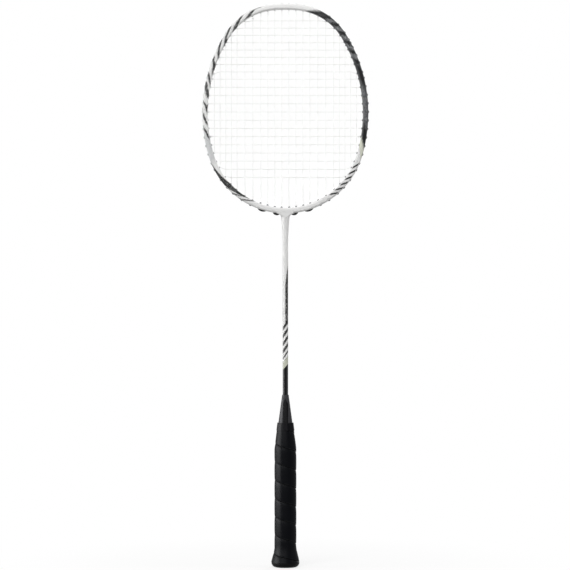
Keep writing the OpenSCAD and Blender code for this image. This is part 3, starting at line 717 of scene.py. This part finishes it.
def shaft_lacquer():
    """White with a black stroke that grows down both faces, slanted stripes and a dark foot with painted
    sheen at its sides.
    """
    f = Finish("shaft_lacquer")
    wire = f.wire
    turn = f.angle(f.x, f.y * -1)
    fibres = f.noise(1.0, 5, f.vector(f.x * 3, f.y * 3, f.z * 0.35))
    ragged = (fibres - 0.5) * 6
    dry = 0.6 + 0.4 * fibres.rise(0.4, 0.5)
    grown = (SHAFT_STROKE[1] - f.z).rise(0, STROKE_TAPER)
    facing = wire.maths("FRACT", turn / 180 + 1.5) * 180 - 90
    near_edge = (facing + grown * 88 + ragged * 6).rise(81, 91)
    past_edge = (facing + ragged * 2).rise(80, 88)
    stroke = near_edge * (1 - past_edge) * f.z.between(*SHAFT_STROKE, 2) * dry
    hair = (facing + ragged).between(-84, -66, 4) * f.z.between(*HAIR_LINE, 3)
    way = f.z - f.x * 1.5 + ragged * 0.15
    stripe_cycle = wire.maths("FRACT", way / STRIPE_PITCH)
    stripes = (stripe_cycle - 0.44).rise(0, 0.06) * way.between(*STRIPES, 0.6)
    level = f.z - f.x * 1.1
    band = level.between(*BAND, 0.3)
    ink = stroke.most(stripes * 0.94)
    paint = ink.mix((hair * 0.7).mix(WHITE, GREY), BLACK)
    # The foot's black turns grey towards its sides, front and back staying black: a painted sheen.
    foot = wire.maths("ABSOLUTE", facing).rise(8, 48).mix(BLACK, PAINTED_SHEEN_GREY)
    coat = level.rise(BAND[1], BAND[1] + 0.6).mix(band.mix(foot, STRAW), paint)
    return f.coat(
        Base_Color=coat,
        Roughness=0.27 + 0.06 * f.noise(260),
        Specular_IOR_Level=0.07,
        Coat_Weight=0.03,
        Coat_Roughness=0.1,
        Normal=f.bump(f.noise(900, 2), 0.03, 0.02),
    )


# Panel on the cone: level of its tip, length of its taper and half width, in millimetres.
PANEL_TIP_Z, PANEL_TAPER, PANEL_HALF_W = 113.5, 9, 3.2


def cone_gloss():
    """Black gloss with a plain black panel on the front and back that ends in a point, and painted sheen
    in smoky grey beside it.
    """
    f = Finish("cone_gloss")
    swirl = f.noise(90, 4)
    half_width = (PANEL_TIP_Z - f.z).rise(0, PANEL_TAPER) * PANEL_HALF_W
    painted_sheen_beside_panel = (f.wire.maths("ABSOLUTE", f.x) - half_width).rise(-0.35, 0.35)
    black = swirl.mix(colour(7, 7, 9), colour(16, 16, 19))
    # Beside the panel the black turns smoky grey: a painted sheen.
    smoky = swirl.mix(colour(50, 50, 53), colour(68, 68, 71))
    return f.coat(
        Base_Color=painted_sheen_beside_panel.mix(black, smoky),
        Roughness=0.28 + 0.08 * f.noise(500, 3),
        Specular_IOR_Level=0.04,
        Normal=f.bump(f.noise(900, 3), 0.05, 0.02),
    )


def cap_plastic():
    f = Finish("cap_plastic")
    grain = f.noise(2200, 2)
    return f.coat(
        Base_Color=grain.mix(colour(10, 10, 11), colour(20, 20, 21)),
        Roughness=0.38 + 0.16 * f.noise(400, 3),
        Specular_IOR_Level=0.05,
        Normal=f.bump(grain, 0.15, 0.03),
    )


def grip_finish():
    """Black soft tape with a fine leather grain, rubbed along its lower edge."""
    f = Finish("grip_tape")
    wire = f.wire
    turn = f.angle(f.y, f.x)
    way = wire.maths("FRACT", (f.z - SEAM_Z) / GRIP_PITCH + (turn + 90) / 360) * GRIP_PITCH
    cells = wire.node(
        "ShaderNodeTexVoronoi",
        {"feature": "DISTANCE_TO_EDGE"},
        {"Vector": f.place, "Scale": 1250},
        "Distance",
    )
    grain = cells.rise(0, 0.35) * 0.7 + f.noise(3200, 2) * 0.3
    rubbed = way.between(0.1, 1.2, 0.4) * f.noise(240, 3).rise(0.35, 0.65)
    tucked = way.rise(GRIP_PITCH - 1.7, GRIP_PITCH - 0.1)
    cloudy = f.noise(60, 4)
    base = cloudy.mix(colour(3, 4, 7), colour(8, 9, 13))
    shade = tucked.mix((rubbed * 0.4).mix(base, colour(46, 46, 48)), colour(3, 3, 5))
    return f.coat(
        Base_Color=shade,
        Roughness=0.34 + 0.16 * cloudy - 0.06 * rubbed,
        Specular_IOR_Level=0.04,
        Normal=f.bump(grain, 0.25, 0.06),
    )


def end_tape():
    f = Finish("end_tape")
    ribs = f.wire.maths("SINE", f.z * 14) * 0.5 + 0.5
    weave = ribs * 0.4 + f.noise(1800, 2) * 0.6
    return f.coat(
        Base_Color=weave.mix(colour(3, 3, 7), colour(10, 10, 14)),
        Roughness=0.36 + 0.16 * f.noise(600, 2),
        Specular_IOR_Level=0.05,
        Normal=f.bump(weave, 0.15, 0.03),
    )


def string_nylon():
    f = Finish("string_nylon")
    twist = f.wire.maths("SINE", (f.x + f.z) * 4.2 + f.y * 6) * 0.5 + 0.5
    strands = f.noise(2400, 2) * 0.6 + twist * 0.4
    return f.coat(
        Base_Color=strands.mix(colour(241, 241, 240), colour(251, 251, 250)),
        Roughness=0.3 + 0.15 * f.noise(900, 2),
        Specular_IOR_Level=0.3,
        Transmission_Weight=0.3,
        IOR=1.3,
        Normal=f.bump(strands, 0.2, 0.03),
    )


# Levels between which the nylon of the grommets changes, and where the tips and the left side are pale.
SMOKY_TO_PALE_Z = (420, 450)
TIP_FOOT_Z, TIP_END_Z = (338.8, 339.6), (347, 348)
PALE_SIDE_X, PALE_SIDE_Z = (-30, -32), (355, 360)


def grommet_nylon(name, clear):
    """Pale nylon, smoky towards the throat, or black nylon on the right and at the throat."""
    f = Finish(name)
    flow = f.noise(700, 3)
    pale = flow.mix(colour(222, 223, 223), colour(238, 239, 239))
    smoky = flow.mix(colour(118, 120, 121), colour(168, 170, 171))
    light = f.z.rise(*SMOKY_TO_PALE_Z).mix(smoky, pale)
    black = flow.mix(colour(20, 20, 21), colour(38, 38, 39))
    tip = f.z.rise(*TIP_FOOT_Z) * (1 - f.z.rise(*TIP_END_Z))
    pale_side = f.x.rise(*PALE_SIDE_X) * f.z.rise(*PALE_SIDE_Z)
    return f.coat(
        Base_Color=light if clear else tip.most(pale_side).mix(black, light),
        Roughness=0.4 + 0.15 * f.noise(1500, 2),
        Specular_IOR_Level=0.15,
        Normal=f.bump(f.noise(1900, 2), 0.1, 0.02),
    )


def joint_moulding():
    f = Finish("joint_moulding")
    fibres = f.noise(900, 4, None, (1, 1, 0.15))
    return f.coat(
        Base_Color=fibres.mix(colour(38, 39, 41), colour(70, 71, 73)),
        Roughness=0.45 + 0.2 * f.noise(500, 2),
        Normal=f.bump(fibres, 0.2, 0.05),
    )


def core_wood():
    f = Finish("core_wood")
    rings = f.noise(140, 5, None, (1, 1, 0.06))
    pores = f.noise(1600, 3, None, (1, 1, 0.05))
    grain = f.wire.maths("PINGPONG", rings * 9, 1) * 0.7 + pores * 0.3
    return f.coat(
        Base_Color=grain.mix(colour(196, 160, 112), colour(226, 198, 152)),
        Roughness=0.55 + 0.2 * pores,
        Normal=f.bump(grain, 0.2, 0.08),
    )


finishes = {
    "frame_lacquer": hoop_lacquer(),
    "shaft_lacquer": shaft_lacquer(),
    "cone_gloss": cone_gloss(),
    "cap_plastic": cap_plastic(),
    "grip_tape": grip_finish(),
    "end_tape": end_tape(),
    "string_nylon": string_nylon(),
    "grommet_clear": grommet_nylon("grommet_clear", True),
    "grommet_black": grommet_nylon("grommet_black", False),
    "joint_moulding": joint_moulding(),
    "core_wood": core_wood(),
}
node_slots = {
    "head_frame": "frame_lacquer",
    "t_joint": "joint_moulding",
    "shaft": "shaft_lacquer",
    "cone_cap": "cone_gloss",
    "handle_core": "core_wood",
    "butt_cap": "cap_plastic",
    "finishing_tape": "end_tape",
    "main_knots": "string_nylon",
    "cross_knots": "string_nylon",
    "crown_grommets": "grommet_clear",
    "left_upper_grommets": "grommet_clear",
    "left_lower_grommets": "grommet_clear",
    "right_upper_grommets": "grommet_black",
    "right_lower_grommets": "grommet_black",
    "neck_grommets": "grommet_black",
    "throat_grommets": "grommet_black",
    "tie_off_grommets": "grommet_black",
}


def dress(piece, slot):
    piece.data.materials.clear()
    piece.data.materials.append(finishes[slot])


for node_name, slot_name in node_slots.items():
    dress(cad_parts[node_name], slot_name)

main_route = main_half(-1)[::-1] + main_half(1)
for piece, node_name, slot_name in (
    (threaded_string("woven_main_string", main_route), "main_string", "string_nylon"),
    (threaded_string("woven_cross_string", cross_route()), "cross_string", "string_nylon"),
    (wound_grip("wound_grip_tape"), "grip_wrap", "grip_tape"),
):
    dress(piece, slot_name)
    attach(piece, "root")
    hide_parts(node_name)

for piece, slot_name in (
    (grommet_lips("black_grommet_lips", BLACK_LIPS), "grommet_black"),
    (grommet_lips("pale_grommet_lips", PALE_LIPS), "grommet_clear"),
):
    dress(piece, slot_name)
    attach(piece, "root")


def seen_rays(wire):
    """1 for what the camera, reflections and clear materials see of the surroundings."""
    seen = [
        wire.node("ShaderNodeLightPath", out=name)
        for name in ("Is Camera Ray", "Is Glossy Ray", "Is Transmission Ray")
    ]
    return seen[0].most(seen[1]).most(seen[2])


FLOOR_R = 1.6
FLOOR_Z = -0.0901
# The floor's share of glow near the racket, and between which distances it becomes all glow, in metres.
NEAR_GLOW = 0.75
GLOW_REACH = (0.1, 0.4)
WORLD_LIGHT = 0.44


def studio_floor():
    """Paper that glows white further out and shows the racket's shadow near it."""
    shape = bmesh.new()
    bmesh.ops.create_circle(shape, cap_ends=True, segments=96, radius=FLOOR_R)
    bmesh.ops.translate(shape, vec=(0, 0, FLOOR_Z), verts=shape.verts)
    floor = finished_piece("floor", shape)
    f = Finish("floor_paper")
    far = f.wire.node("ShaderNodeVectorMath", {"operation": "LENGTH"}, {0: f.place}, "Value")
    paper = f.wire.node("ShaderNodeBsdfDiffuse", None, {"Color": (0.86, 0.86, 0.86, 1)})
    glow = f.wire.node("ShaderNodeEmission", None, {"Color": (1, 1, 1, 1), "Strength": 1})
    fade = seen_rays(f.wire) * (NEAR_GLOW + (1 - NEAR_GLOW) * far.rise(*GLOW_REACH))
    surface = f.wire.node("ShaderNodeMixShader", None, {0: fade, 1: paper, 2: glow})
    f.wire.node("ShaderNodeOutputMaterial", None, {"Surface": surface})
    floor.data.materials.append(f.material)
    floor.visible_diffuse = False


def studio_world():
    """Even light all round, which the camera, reflections and clear materials see as white."""
    world = bpy.data.worlds.new("studio")
    bpy.context.scene.world = world
    world.use_nodes = True
    world.node_tree.nodes.clear()
    wire = Wire(world.node_tree)
    strength = WORLD_LIGHT + (1 - WORLD_LIGHT) * seen_rays(wire)
    sky = wire.node("ShaderNodeBackground", None, {"Color": (1, 1, 1, 1), "Strength": strength})
    wire.node("ShaderNodeOutputWorld", None, {"Surface": sky})


def softbox(name, place, aim, size, power, lights_up=True):
    """Soft rectangular lamp; one that doesn't light up the object only shows in its gloss."""
    lamp = bpy.data.lights.new(name, "AREA")
    lamp.shape = "RECTANGLE"
    lamp.size, lamp.size_y = size
    lamp.energy = power
    stand = linked(name, lamp)
    stand.location = place
    stand.rotation_mode = "QUATERNION"
    stand.rotation_quaternion = (Vector(aim) - Vector(place)).to_track_quat("-Z", "Y")
    stand.visible_diffuse = lights_up


def front_camera():
    """Long lens that looks along +Y at the middle of the racket."""
    lens = bpy.data.cameras.new("camera")
    lens.lens = 158
    lens.sensor_width = 36
    camera = linked("camera", lens)
    camera.location = (-0.0005, -3, 0.2481)
    camera.rotation_euler = (math.pi / 2, 0, 0)
    bpy.context.scene.camera = camera


studio_floor()
studio_world()
softbox("top_softbox", (-0.4, -1.35, 2.1), (0, 0, 0.3), (1.2, 1.2), 32)
softbox("side_softbox", (-2.0, -0.4, 0.4), (0, 0, 0.3), (0.6, 1.2), 8)
softbox("fill_softbox", (1.9, -0.5, 0.95), (0, 0, 0.2), (0.7, 0.7), 5)
softbox("back_softbox", (0.8, 2.0, 0.9), (0, 0, 0.3), (1.2, 1.2), 21)
softbox("gloss_panel", (-1.9, -0.3, 0.3), (0, 0, 0.25), (1.7, 1.4), 135, False)
softbox("butt_panel", (-0.8, -2.48, 1.05), (0, 0, -0.08), (2.2, 0.5), 48, False)
front_camera()
bpy.context.scene.view_settings.view_transform = "Standard"
